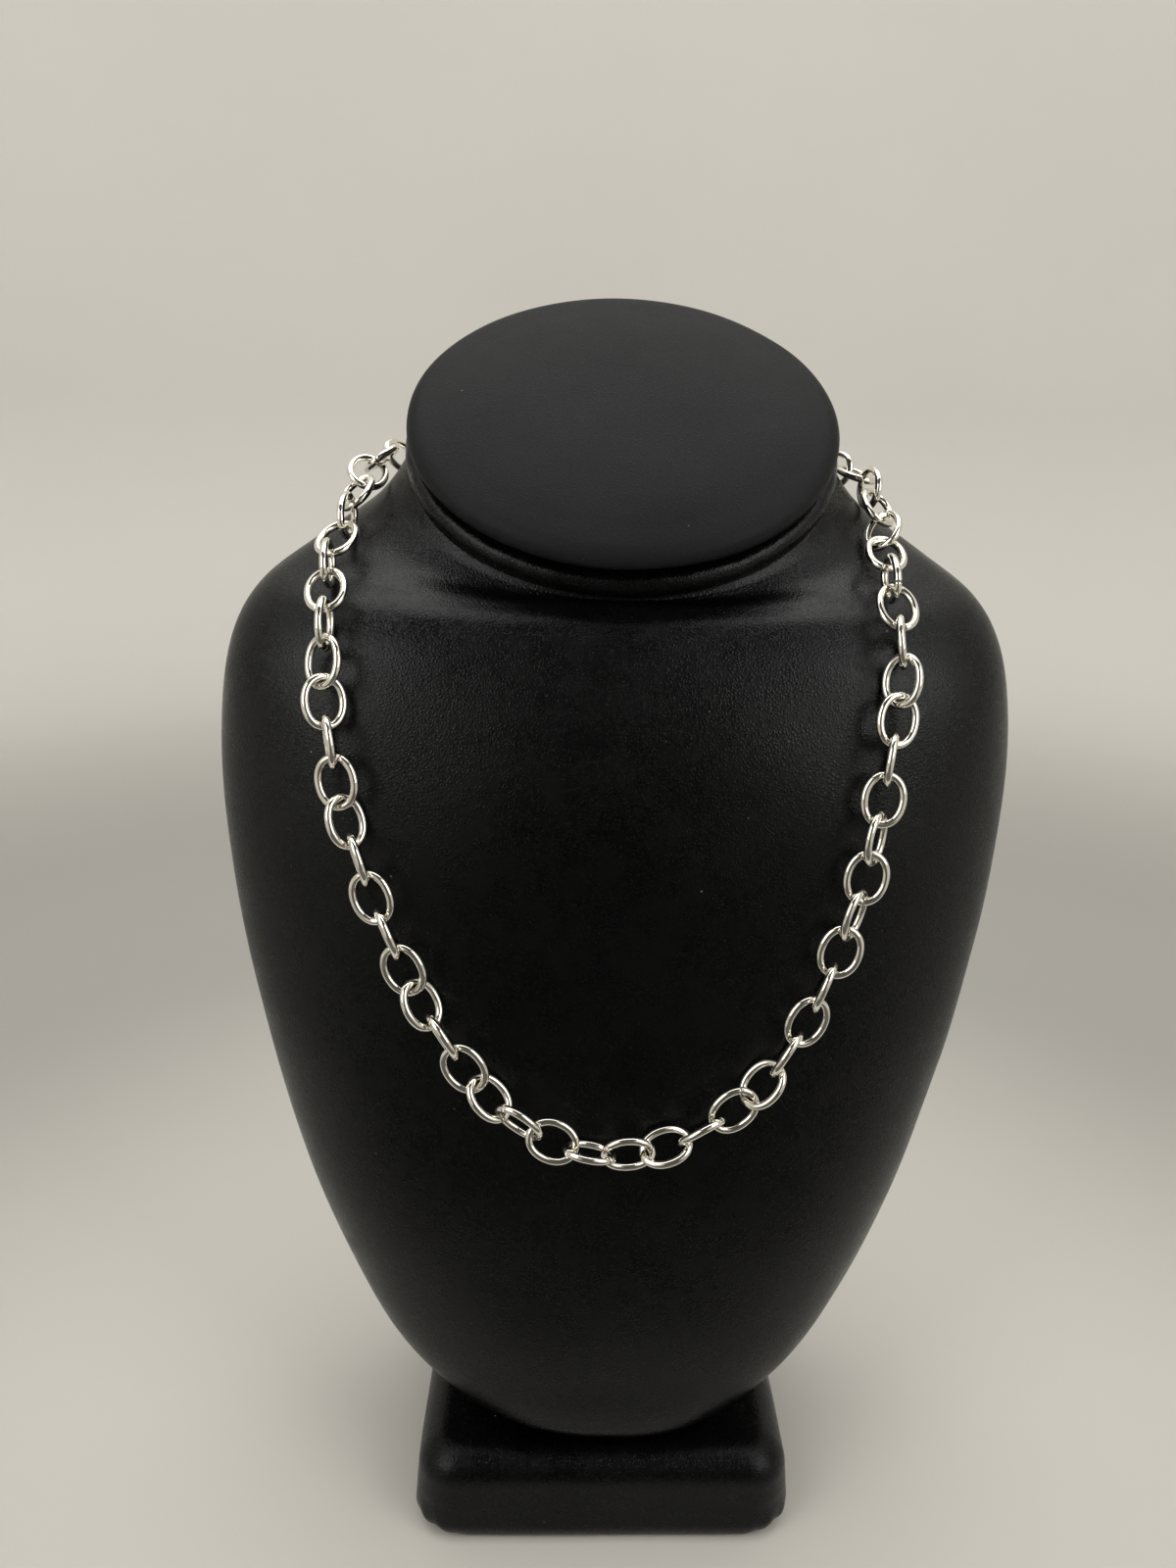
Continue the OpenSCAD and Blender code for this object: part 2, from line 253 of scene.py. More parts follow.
class Graph:
    """A node material under construction."""

    def __init__(self, name: str) -> None:
        """Starts a material with a plain shader and its object coordinates.

        Args:
            name: Name of the material.
        """
        self.material = bpy.data.materials.new(name)
        self.material.use_nodes = True
        self.tree = self.material.node_tree
        self.shader = self.tree.nodes["Principled BSDF"]
        self.place = self.add("ShaderNodeTexCoord").outputs["Object"]

    def add(self, kind: str, settings: dict[str, object] | None = None, **inputs: object) -> bpy.types.Node:
        """Adds a node.

        Args:
            kind: The node's type name.
            settings: Values of its own properties.
            **inputs: Its inputs by name, with _ for a space, each a value or another node's output.

        Returns:
            The node.
        """
        node = self.tree.nodes.new(kind)
        for key, value in (settings or {}).items():
            setattr(node, key, value)
        for key, value in inputs.items():
            self.feed(node.inputs[key.replace("_", " ")], value)
        return node

    def feed(self, socket: bpy.types.NodeSocket, value: object) -> None:
        """Links an output to an input, or sets its value.

        Args:
            socket: The input.
            value: Another node's output, or a plain value.
        """
        if isinstance(value, bpy.types.NodeSocket):
            self.tree.links.new(value, socket)
        else:
            socket.default_value = value

    def math(self, how: str, first: object, second: object = 0.0) -> bpy.types.NodeSocket:
        """Result of one sum on two numbers.

        Args:
            how: The sum's type name.
            first: A number or an output.
            second: A number or an output.

        Returns:
            The result's output.
        """
        node = self.tree.nodes.new("ShaderNodeMath")
        node.operation = how
        self.feed(node.inputs[0], first)
        self.feed(node.inputs[1], second)
        return node.outputs[0]

    def span(self, value: object, low: float, high: float, to_low: float = 0.0,
             to_high: float = 1.0) -> bpy.types.NodeSocket:
        """A value taken smoothly from one range to another.

        Args:
            value: Output that gives the value.
            low: Start of the range that it comes from.
            high: End of that range.
            to_low: What the start becomes.
            to_high: What the end becomes.

        Returns:
            The new value's output.
        """
        node = self.add("ShaderNodeMapRange", {"interpolation_type": "SMOOTHSTEP"}, Value=value)
        for key, number in (("From Min", low), ("From Max", high), ("To Min", to_low), ("To Max", to_high)):
            node.inputs[key].default_value = number
        return node.outputs[0]

    def noise(self, scale: float, detail: float = 2.0, rough: float = 0.5) -> bpy.types.NodeSocket:
        """Soft noise in space, with features of about one over scale metres."""
        node = self.add("ShaderNodeTexNoise", Vector=self.place, Scale=scale, Detail=detail, Roughness=rough)
        return node.outputs[0]

    def blend(self, factor: object, first: object, second: object) -> bpy.types.NodeSocket:
        """A colour between two.

        Args:
            factor: How far it lies from the first to the second, a number or an output.
            first: A colour or an output.
            second: A colour or an output.

        Returns:
            The colour's output.
        """
        node = self.tree.nodes.new("ShaderNodeMix")
        node.data_type = "RGBA"
        self.feed(node.inputs[0], factor)
        self.feed(node.inputs[6], first)
        self.feed(node.inputs[7], second)
        return node.outputs[2]

    def bump(self, height: object, strength: float, distance: float,
             below: object | None = None) -> bpy.types.NodeSocket:
        """A bump on top of the one below.

        Args:
            height: Output that gives the height.
            strength: How much of the bump shows, up to 1.
            distance: Depth of the bump in metres.
            below: Another bump's output, or none.

        Returns:
            The normal's output.
        """
        node = self.add("ShaderNodeBump", Strength=strength, Distance=distance, Height=height)
        if below is not None:
            self.feed(node.inputs["Normal"], below)
        return node.outputs[0]

    def finish(self, **inputs: object) -> bpy.types.Material:
        """Sets the shader's inputs and returns the material.

        Args:
            **inputs: The shader's inputs by name, as in add.

        Returns:
            The material.
        """
        for key, value in inputs.items():
            self.feed(self.shader.inputs[key.replace("_", " ")], value)
        return self.material


def rgba(tone: Tone, shade: float | Tone = 1.0) -> tuple[float, ...]:
    """A solid colour: the tone times a shade, or times a shade for each channel."""
    return (*(np.array(tone) * np.array(shade)).tolist(), 1.0)


@dataclass(frozen=True)
class LeatherFinish:
    """Black leatherette: small pebbles with painted shade in the creases, slow shading, and specks of dust.

    Sizes and depths are in millimetres, and a scale is about how many features there are in a metre. The cloud
    says how strong the slow shading is, and the dust how many specks there are.
    """

    name: str
    pebble: float = 0.8
    pebble_round: float = 0.38
    bent_by: float = 0.8
    bend_scale: float = 650.0
    fine_scale: float = 2900.0
    fine_height: float = 0.2
    depth: float = 0.04
    patch_scale: float = 140.0
    patch_strength: float = 0.2
    patch_depth: float = 0.25
    patch_rough: float = 0.05
    worn_scale: float = 22.0
    worn_share: float = 0.35
    top: float = 0.0026
    painted_crease_shade: float = 0.0
    top_tint: Tone = (1.0, 1.04, 1.18)
    painted_crease_shade_tint: Tone = (1.0, 1.0, 1.1)
    worn_tint: Tone = (1.5, 1.55, 1.7)
    roughness: float = 0.25
    crease_rough: float = 0.06
    gloss: float = 0.245
    sheen: Tone = (0.92, 0.95, 1.0)
    cloud: float = 1.0
    dust: float = 0.5
    speck_scale: float = 210.0
    speck_edge: tuple[float, float] = (0.05, 0.02)
    speck_share: float = 0.4
    speck_cover: tuple[float, float] = (0.1, 0.9)
    speck_tone: Tone = (0.30, 0.29, 0.26)

    def material(self) -> bpy.types.Material:
        """Makes the material.

        Pebbles are cells of a slightly bent cell pattern, high in the middle and low at their edges, with a
        fine noise on them. The creases are a little rougher, and darker by painted shade. Dust is a small pale
        dot in a few cells of a wide cell pattern.

        Returns:
            The material.
        """
        g = Graph(self.name)
        bend = g.add("ShaderNodeTexNoise", Vector=g.place, Scale=self.bend_scale, Detail=1.0).outputs[1]
        shift = g.add("ShaderNodeVectorMath", {"operation": "SCALE"})
        g.feed(shift.inputs[0], bend)
        shift.inputs["Scale"].default_value = self.bent_by * MM
        bent = g.add("ShaderNodeVectorMath", {"operation": "ADD"})
        g.feed(bent.inputs[0], g.place)
        g.feed(bent.inputs[1], shift.outputs[0])
        cells = g.add("ShaderNodeTexVoronoi", {"feature": "DISTANCE_TO_EDGE"}, Vector=bent.outputs[0],
                      Scale=1000.0 / self.pebble)
        pebbles = g.span(cells.outputs["Distance"], 0.0, self.pebble_round)
        fine = g.noise(self.fine_scale, 1.0)
        slow = g.noise(self.worn_scale, 3.0, 0.55)
        patches = g.noise(self.patch_scale, 3.0, 0.6)
        worn = g.math("MULTIPLY", g.span(slow, 0.35, 0.7), self.worn_share * self.cloud)
        height = g.math("ADD", pebbles, g.math("MULTIPLY", fine, self.fine_height))
        normal = g.bump(patches, self.patch_strength * self.cloud, self.patch_depth * MM)
        normal = g.bump(height, 1.0, self.depth * MM, normal)
        # Painted shade: the creases between the pebbles get a darker colour than the pebble tops.
        colour = g.blend(pebbles, rgba(self.painted_crease_shade_tint, self.painted_crease_shade), rgba(self.top_tint, self.top))
        colour = g.blend(worn, colour, rgba(self.worn_tint, self.top))
        spots = g.add("ShaderNodeTexVoronoi", {"feature": "F1"}, Vector=g.place, Scale=self.speck_scale)
        near = g.span(spots.outputs["Distance"], *self.speck_edge)
        chosen = g.add("ShaderNodeSeparateColor", Color=spots.outputs["Color"])
        picked = g.math("GREATER_THAN", chosen.outputs[0], 1.0 - self.speck_share * self.dust)
        speck = g.math("MULTIPLY", near, picked)
        speck = g.math("MULTIPLY", speck, g.span(chosen.outputs[1], 0.1, 1.0, *self.speck_cover))
        colour = g.blend(speck, colour, rgba(self.speck_tone))
        spread = self.patch_rough * self.cloud
        rough = g.math("ADD", g.span(patches, 0.3, 0.7, self.roughness - spread, self.roughness + spread),
                       g.math("MULTIPLY", g.math("SUBTRACT", 1.0, pebbles), self.crease_rough))
        return g.finish(Base_Color=colour, Roughness=rough, Normal=normal, Specular_IOR_Level=self.gloss,
                        Specular_Tint=rgba(self.sheen))


@dataclass(frozen=True)
class SteelFinish:
    """Polished steel wire with hair-fine marks, faint haze, and a dark line where a link is joined."""

    name: str
    tone: Tone = (0.93, 0.90, 0.83)
    haze_tint: Tone = (0.9, 0.9, 0.89)
    haze_scale: float = 260.0
    roughness: float = 0.06
    clearer_by: float = 0.03
    hazier_by: float = 0.04
    marks_scale: float = 5200.0
    marks_strength: float = 0.08
    marks_depth: float = 0.03
    joint_tone: Tone = (0.03, 0.028, 0.025)
    joint_rough: float = 0.5

    def material(self) -> bpy.types.Material:
        """Makes the material.

        The marks are a fine noise in the bump, the haze a slow noise in the roughness, and the dark joint
        follows the mesh's own mark attribute.

        Returns:
            The material.
        """
        g = Graph(self.name)
        haze = g.noise(self.haze_scale, 3.0, 0.6)
        marks = g.noise(self.marks_scale, 2.0, 0.6)
        joint = g.add("ShaderNodeAttribute", {"attribute_name": MARK}).outputs["Fac"]
        colour = g.blend(g.span(haze, 0.35, 0.75), rgba(self.tone), rgba(self.tone, self.haze_tint))
        colour = g.blend(joint, colour, rgba(self.joint_tone))
        clear, hazy = self.roughness - self.clearer_by, self.roughness + self.hazier_by
        rough = g.math("ADD", g.span(haze, 0.3, 0.75, clear, hazy), g.math("MULTIPLY", joint, self.joint_rough))
        normal = g.bump(marks, self.marks_strength, self.marks_depth * MM)
        return g.finish(Base_Color=colour, Metallic=1.0, Roughness=rough, Normal=normal)


@dataclass(frozen=True)
class PaperFinish:
    """Pale matt paper of the floor and its sweep, with painted shade on the floor."""

    name: str = "paper_sweep"
    tone: Tone = (0.675, 0.659, 0.628)
    slow_scale: float = 3.0
    slow_tint: Tone = (0.97, 0.97, 0.975)
    # Painted shade round the foot and over the floor beyond it, as fractions of the tone, with their reaches in
    # metres.
    painted_foot_shade: float = 0.82
    painted_foot_shade_reach: tuple[float, float] = (0.1, 0.35)
    painted_floor_shade: float = 0.51
    painted_floor_shade_reach: tuple[float, float] = (0.5, 1.15)
    roughness: float = 0.85

    def material(self) -> bpy.types.Material:
        """Makes the material, with painted shade: darker round the foot, darkest beyond it, fading out towards
        the wall.

        Returns:
            The material.
        """
        g = Graph(self.name)
        slow = g.span(g.noise(self.slow_scale, 2.0), 0.3, 0.7)
        length = g.add("ShaderNodeVectorMath", {"operation": "LENGTH"})
        g.feed(length.inputs[0], g.place)
        away = length.outputs["Value"]
        colour = g.blend(slow, rgba(self.tone), rgba(self.tone, self.slow_tint))
        # Painted shade: the floor is darkest out to about half a metre, and brightens to full tone towards the
        # wall.
        colour = g.blend(g.span(away, *self.painted_floor_shade_reach), rgba(self.tone, self.painted_floor_shade), colour)
        # Painted shadow round the foot: a little darker than the full tone.
        colour = g.blend(g.span(away, *self.painted_foot_shade_reach), rgba(self.tone, self.painted_foot_shade), colour)
        return g.finish(Base_Color=colour, Roughness=self.roughness)


@dataclass(frozen=True)
class ClothFinish:
    """Dark cloth whose sides fade out.

    It is solid out to full and clear from gone, both to a side and in metres. It is wider by high near its top
    and by low near the floor, over the heights that high_over and low_over give.
    """

    name: str = "dark_cloth"
    tone: Tone = (0.08, 0.078, 0.072)
    full: float = 0.11
    gone: float = 0.28
    high: float = 0.32
    high_over: tuple[float, float] = (0.55, 0.85)
    low: float = 0.16
    low_over: tuple[float, float] = (0.10, 0.25)

    def material(self) -> bpy.types.Material:
        """Makes the material, solid near the middle, clear past its sides, and wider low down and at the top.

        Returns:
            The material.
        """
        g = Graph(self.name)
        place = g.add("ShaderNodeSeparateXYZ", Vector=g.place)
        high = g.span(place.outputs["Z"], *self.high_over, 0.0, self.high)
        low = g.span(place.outputs["Z"], *self.low_over, self.low, 0.0)
        across = g.math("SUBTRACT", g.math("ABSOLUTE", place.outputs["X"]), g.math("MAXIMUM", high, low))
        alpha = g.span(across, self.full, self.gone, 1.0, 0.0)
        return g.finish(Base_Color=rgba(self.tone), Roughness=1.0, Alpha=alpha)


@dataclass
class BustBody:
    """The covered body, a surface through horizontal cuts that lean over to the neck's slope.

    Each row of cuts has a height over the foot, a set back, a lean in degrees, a half width, the reach to the
    front and to the back, and the squareness of the front and the back half, where 2 is an ellipse.
    """

    finish: LeatherFinish
    shift_y: float = -1.0
    above_floor: float = 24.3
    columns: int = 288
    steps: int = 13
    wave: float = 0.22
    wave_length: float = 46.0
    wave_seed: int = 11
    fade_rows: float = 1.5

    def cuts(self) -> np.ndarray:
        """The table of cuts, from the foot up to the neck, in millimetres.

        Returns:
            One row a cut, with the eight numbers that the class names.
        """
        return np.array([
            [0, 8, 0, 28, 22, 27, 2.6, 2.6],
            [2.2, 5, 0, 32, 48, 30, 2.6, 2.6],
            [5.7, 1, 0, 40, 51, 35, 2.7, 2.6],
            [11.7, -4, 0, 50, 47.5, 40, 2.7, 2.6],
            [21.7, -8, 0, 59.7, 43, 44, 2.6, 2.6],
            [37.7, -10, 0, 68.8, 40.5, 46, 2.4, 2.6],
            [61.7, -9, 0, 78.7, 40, 45, 2.3, 2.6],
            [90.7, -7, 0, 87.2, 40, 43, 2.2, 2.6],
            [122.7, -4, 0, 94.1, 41, 41, 2.2, 2.6],
            [155.7, -2, 0, 98.2, 40.5, 40, 2.2, 2.6],
            [181.7, 0, 0, 98.7, 37.5, 39, 2.2, 2.6],
            [201.7, 2, 3, 95.8, 32.5, 39, 2.3, 2.4],
            [214.7, 5, 9.5, 89.4, 30, 40, 2.2, 2.2],
            [223.2, 9, 18, 78, 30.5, 41, 2.1, 2],
            [231.2, 13, 28.5, 64, 34.5, 41, 2, 2],
            [239.4, 15, 37.5, 56, 40, 43, 2, 2],
            [245.8, 16.5, 42, 53, 44.5, 44.5, 2, 2],
        ])

    def skin(self) -> np.ndarray:
        """Grid of points of the cover.

        A point at turn t of a cut lies at half width times cos t to the power 2/squareness in X, and at reach
        times sin t to the same power along the cut's lean. Slow waves of the padding are added along the
        normal.

        Returns:
            Rows by columns by three, in millimetres.
        """
        table = self.cuts()
        at = np.linspace(0, len(table) - 1, (len(table) - 1) * self.steps + 1)
        cut = smooth_rows(table, at)
        turn = np.linspace(0, 2 * math.pi, self.columns, endpoint=False)[None, :]
        c, s = np.cos(turn), np.sin(turn)
        height, back, lean, half, front, rear, sq_front, sq_rear = (cut[:, k, None] for k in range(8))
        square = np.where(s < 0, sq_front, sq_rear)
        reach = np.where(s < 0, front, rear) * signed_power(s, 2 / square)
        lean = np.radians(lean)
        points = np.stack([
            half * signed_power(c, 2 / square),
            back + reach * np.cos(lean) + self.shift_y,
            self.above_floor + height + reach * np.sin(lean),
        ], -1)
        fade = np.minimum(1, np.minimum(at, len(table) - 1 - at) / self.fade_rows)[:, None]
        waves = self.wave * fade * soft_waves(points, self.wave_length, self.wave_seed)
        return points + outward_of(points) * waves[..., None]

    def build(self) -> bpy.types.Object:
        """Makes the body.

        Returns:
            The body.
        """
        piece = SurfaceMesh("bust_body")
        piece.add_grid(self.skin())
        return piece.build(("body",), Slot.BODY, self.finish.material())


@dataclass
class NeckPads:
    """The rim and the cap, two padded ovals on the neck's slanted cut."""

    rim_finish: LeatherFinish
    cap_finish: LeatherFinish
    shift_y: float = -1.0
    middle_y: float = 16.5
    middle_z: float = 270.1
    tilt: float = 42.0
    half_w: float = 52.5
    half_l: float = 45.5
    rim_out: float = 1.0
    rim_t: float = 6.2
    groove_h: float = 2.0
    groove_in: float = 4.0
    seam: float = 0.3
    cap_t: float = 6.4
    crown: float = 2.2
    bulge: float = 0.8
    under: float = 5.0
    wave: float = 0.12
    wrinkle: float = 0.10
    columns: int = 300

    def rings(self, profile: np.ndarray, grow: float) -> np.ndarray:
        """Carries a profile round the oval.

        A point of the profile at inset i and rise u lies at (half width - i) cos t in X, at
        (half length - i) sin t along the slope, and at u along the slope's normal.

        Args:
            profile: Insets and rises, two columns.
            grow: How far the oval stands out past the cap's.

        Returns:
            Rows by columns by three, in millimetres.
        """
        turn = np.linspace(0, 2 * math.pi, self.columns, endpoint=False)[None, :]
        inset, rise = profile[:, :1], profile[:, 1:]
        tilt = math.radians(self.tilt)
        across = (self.half_w + grow - inset) * np.cos(turn)
        along = (self.half_l + grow - inset) * np.sin(turn)
        return np.stack([
            across,
            self.middle_y + along * math.cos(tilt) - rise * math.sin(tilt) + self.shift_y,
            self.middle_z + along * math.sin(tilt) + rise * math.cos(tilt),
        ], -1)

    def cap_profile(self) -> np.ndarray:
        """Insets and rises of the cap: a full round edge, whose padding rises gently to the middle.

        Returns:
            Two columns, in millimetres.
        """
        low = 2 * self.seam + self.rim_t + self.groove_h
        stations = np.array([
            [8.5, 0.0], [2.6, 0.05], [1.4, 0.45], [0.35, 1.4], [0.0, 2.6],
            [0.35, 3.8], [1.3, 4.9], [2.9, 5.75], [5.0, 6.25], [8.0, 6.75],
            [12.0, 7.35], [17.0, 7.85], [24.0, 8.25], [33.0, 8.5], [44.0, 8.6],
        ])
        scale = np.array([1.0, (self.cap_t + self.crown) / stations[-1, 1]])
        fine = smooth_rows(stations * scale, np.linspace(0, len(stations) - 1, 90))
        return fine + np.array([0.0, low])

    def rim_profile(self) -> np.ndarray:
        """Insets and rises of the rim: a padded roll, with the groove's wall standing on it.

        The roll is half an oval: inset = bulge * half * (1 - cos a), rise = half * (1 + sin a).

        Returns:
            Two columns, in millimetres.
        """
        a = np.linspace(-0.5, 0.5, 22) * math.pi
        half = self.rim_t / 2
        roll = np.stack([half * self.bulge * (1 - np.cos(a)), self.seam + half + half * np.sin(a)], -1)
        wall = self.rim_out + self.groove_in
        top = self.seam + self.rim_t
        return np.vstack([
            [[half * self.bulge + self.under, self.seam]], roll,
            [[wall - 1, top + 0.05], [wall, top + 0.4], [wall, top + self.groove_h]],
        ])

    def build(self) -> list[bpy.types.Object]:
        """Makes the rim and the cap, each with slow waves of its padding.

        Returns:
            The cap and the rim.
        """
        cap = self.rings(self.cap_profile(), 0.0)
        cap += outward_of(cap) * (self.wave * soft_waves(cap, wavelength=30, seed=5))[..., None]
        rim = self.rings(self.rim_profile(), self.rim_out)
        slow = self.wave * soft_waves(rim, wavelength=26, seed=8)
        quick = self.wrinkle * soft_waves(rim, wavelength=9, seed=13)
        rim += outward_of(rim) * (slow + quick)[..., None]
        top, low = SurfaceMesh("neck_cap_pad"), SurfaceMesh("neck_rim_roll")
        top.add_grid(cap)
        low.add_grid(rim)
        pad = top.build(("neck_cap",), Slot.CAP, self.cap_finish.material())
        roll = low.build(("neck_rim",), Slot.RIM, self.rim_finish.material())
        return [pad, roll]


@dataclass
class FootBlock:
    """The covered block that the bust stands on, with soft edges and gathered lower corners."""

    finish: LeatherFinish
    shift_y: float = -1.0
    width: float = 99.0
    depth: float = 100.5
    height: float = 24.0
    middle_y: float = -4.25
    corner: float = 11.0
    corner_widens: float = 0.6
    corner_shrinks: float = 0.7
    shrinks_above: float = 10.0
    least_corner: float = 2.5
    edge: float = 8.0
    lean: float = 1.0
    tuck: float = 3.2
    tuck_z: float = 5.0
    fold_in: float = 5.0
    fold_reach: float = 6.5
    fold_height: float = 8.0
    fold_depth: float = 0.55
    fold_count: float = 11.0
    fold_skew: float = 0.15
    gather: float = 1.3
    wave: float = 0.18
    wave_length: float = 34.0
    wave_seed: int = 21

    def ring(self, inset: np.ndarray, corner: np.ndarray, z: np.ndarray) -> np.ndarray:
        """Rounded rectangles, one for each row.

        Each quarter goes straight from the middle of a side to the corner's arc, along the arc, and straight to
        the middle of the next side.

        Args:
            inset: How far each row stands in from the full size.
            corner: Corner radius of each row.
            z: Height of each row.

        Returns:
            Rows by columns by three, in millimetres.
        """
        half = np.array([self.width / 2, self.depth / 2])
        line, arc = np.linspace(0, 1, 18, endpoint=False), np.linspace(0, math.pi / 2, 22, endpoint=False)
        sides = []
        for quarter in range(4):
            first = np.array([[1, 0], [0, 1], [-1, 0], [0, -1]][quarter])
            second = np.array([[0, 1], [-1, 0], [0, -1], [1, 0]][quarter])
            reach_1 = (np.abs(first) @ half - inset)[:, None, None]
            reach_2 = (np.abs(second) @ half - inset)[:, None, None]
            r = corner[:, None, None]
            start = first * reach_1 + second * (reach_2 - r) * line[None, :, None]
            turn = arc[None, :, None]
            bend = first * (reach_1 - r + r * np.cos(turn)) + second * (reach_2 - r + r * np.sin(turn))
            rest = first * (reach_1 - r) * (1 - line[None, :, None]) + second * reach_2
            sides += [start, bend, rest]
        flat = np.concatenate(sides, axis=1)
        heights = np.broadcast_to(z[:, None], flat.shape[:2])
        return np.stack([flat[..., 0], flat[..., 1] + self.middle_y + self.shift_y, heights], -1)

    def profile(self) -> tuple[np.ndarray, np.ndarray, np.ndarray]:
        """Inset, corner radius and height of the rows, from the underside up over the soft upper edge.

        The lower edge tucks in along a quarter of an oval, the wall leans in a little, and the upper edge is a
        quarter of a circle.

        Returns:
            The three columns, in millimetres.
        """
        a = np.linspace(0, 1, 9)
        tuck = self.tuck * (1 - np.sin(a * math.pi / 2))
        low_z = self.tuck_z * (1 - np.cos(a * math.pi / 2))
        b = np.linspace(0, 1, 14)[1:] * math.pi / 2
        over = self.lean + self.edge * (1 - np.cos(b))
        over_z = self.height - self.edge + self.edge * np.sin(b)
        wall_z = np.linspace(self.tuck_z, self.height - self.edge, 12)[1:]
        lean = self.lean * (wall_z - self.tuck_z) / (self.height - self.edge - self.tuck_z)
        inset = np.concatenate([tuck, lean, over])
        z = np.concatenate([low_z, wall_z, over_z])
        wider = self.corner_widens * np.where(z < self.tuck_z, inset, 0)
        tighter = self.corner_shrinks * np.where(z > self.shrinks_above, inset, 0)
        return inset, np.maximum(self.least_corner, self.corner + wider - tighter), z

    def build(self) -> bpy.types.Object:
        """Makes the foot.

        Near the lower corners the cover is gathered: folds run down the corner, deepest at the floor.

        Returns:
            The foot.
        """
        points = self.ring(*self.profile())
        out = outward_of(points)
        x = points[..., 0]
        y = points[..., 1] - self.middle_y - self.shift_y
        from_x = (np.abs(x) - self.width / 2 + self.fold_in) / self.fold_reach
        from_y = (np.abs(y) - self.depth / 2 + self.fold_in) / self.fold_reach
        near = np.exp(-(from_x**2 + from_y**2))
        down = np.clip(1 - points[..., 2] / self.fold_height, 0, 1)
        turn = np.arctan2(np.abs(y) - self.depth / 2 + self.corner, np.abs(x) - self.width / 2 + self.corner)
        crests = np.sin(self.fold_count * turn + np.sign(x) + self.fold_skew * points[..., 2])
        folds = self.fold_depth * near * down * crests - self.gather * near * down**2
        waves = self.wave * soft_waves(points, self.wave_length, self.wave_seed)
        points = points + out * (folds + waves * np.clip(points[..., 2] / 3, 0, 1))[..., None]
        points[..., 2] = np.maximum(points[..., 2], 0)
        piece = SurfaceMesh("foot_block")
        piece.add_grid(points)
        return piece.build(("foot",), Slot.FOOT, self.finish.material())


@dataclass
class LooseRings:
    """Middle and directions of each loose solid of a CAD node, from the moments of its triangles."""

    node: str

    def measure(self) -> tuple[np.ndarray, np.ndarray, np.ndarray]:
        """Works out where each solid lies.

        Vertices at one place are merged and labelled by the solid that they belong to. The areas of its
        triangles give each solid's middle and second moments, whose main directions are its normal, width and
        length.

        Returns:
            Middles (n, 3), directions (n, 3, 3) with normal, width and length as rows, and extents (n, 2) along
            the length from the middle, all in millimetres.
        """
        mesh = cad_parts[self.node].data
        co = np.zeros(len(mesh.vertices) * 3)
        mesh.vertices.foreach_get("co", co)
        co = co.reshape(-1, 3) / MM
        mesh.calc_loop_triangles()
        tri = np.zeros(len(mesh.loop_triangles) * 3, np.int32)
        mesh.loop_triangles.foreach_get("vertices", tri)
        _, same = np.unique(np.round(co, 3), axis=0, return_inverse=True)
        tri = tri.reshape(-1, 3)
        label = np.arange(same.max() + 1)
        joined = same.reshape(-1)[tri]
        while True:
            low = label[joined].min(axis=1)
            new = label.copy()
            for k in range(3):
                np.minimum.at(new, joined[:, k], low)
            new = new[new]
            if (new == label).all():
                break
            label = new
        _, solid = np.unique(label[joined[:, 0]], return_inverse=True)
        count = solid.max() + 1
        a, b, c = (co[tri[:, k]] for k in range(3))
        area = np.linalg.norm(np.cross(b - a, c - a), axis=1)
        mid = (a + b + c) / 3
        total = np.bincount(solid, area, count)
        sums = np.stack([np.bincount(solid, area * mid[:, k], count) for k in range(3)], -1)
        middles = sums / total[:, None]
        rel = mid - middles[solid]
        moments = np.zeros((count, 3, 3))
        np.add.at(moments, solid, area[:, None, None] * rel[:, :, None] * rel[:, None, :])
        _, ways = np.linalg.eigh(moments)
        ways = np.swapaxes(ways, 1, 2)
        along = np.einsum("ij,ij->i", a - middles[solid], ways[solid, 2])
        ends = np.stack([np.full(count, 1e9), np.full(count, -1e9)], -1)
        np.minimum.at(ends[:, 0], solid, along)
        np.maximum.at(ends[:, 1], solid, along)
        return middles, ways, ends


